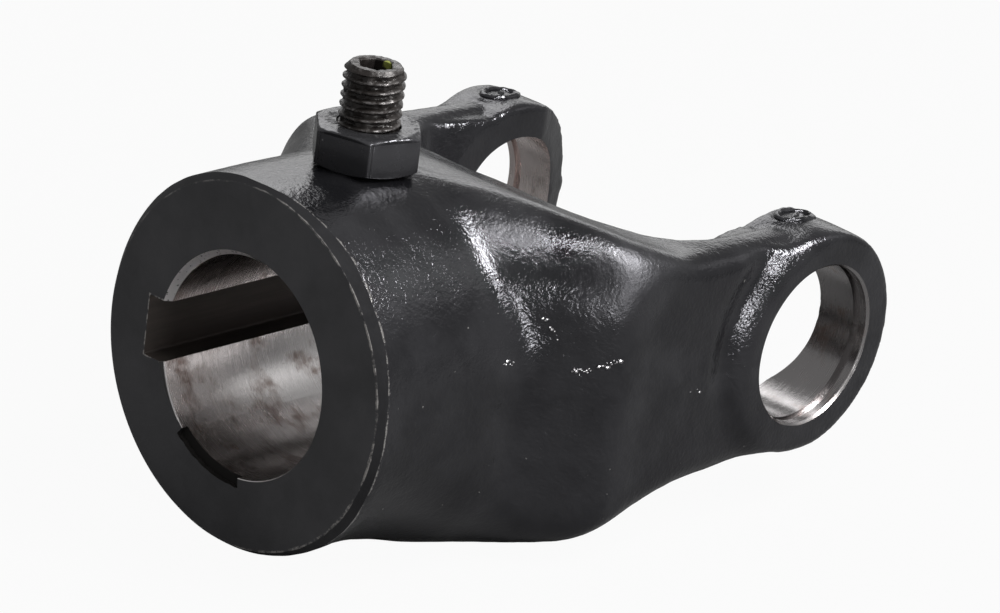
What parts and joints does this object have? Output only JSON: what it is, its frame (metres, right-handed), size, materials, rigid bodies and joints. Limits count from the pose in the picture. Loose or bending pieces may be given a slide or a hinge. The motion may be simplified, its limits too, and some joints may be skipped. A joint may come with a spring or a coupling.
{
  "type": "driveline end yoke",
  "caption": "Forged steel driveline end yoke with a round keyed hub, a fork with bored ears, and a set screw with its lock nut.",
  "frame": {"origin": "centre of the shaft bore, in the plane of the hub's faced end", "axes": "+Y along the shaft bore from the hub's faced end to the ears, +X along the cross bore, +Z along the set screw, away from the hub"},
  "size_m": [0.0808, 0.1109, 0.0748],
  "materials": {
    "black_paint": "semi-gloss black paint over rough forged steel, with the bores and faces machined bare",
    "black_nut": "gloss black paint on steel",
    "dark_oxide": "dark oxide, bright on the thread's crests"
  },
  "bodies": {
    "root": {"yoke_forging": "black_paint", "lock_nut": "black_nut", "set_screw": "dark_oxide"}
  },
  "joints": []
}
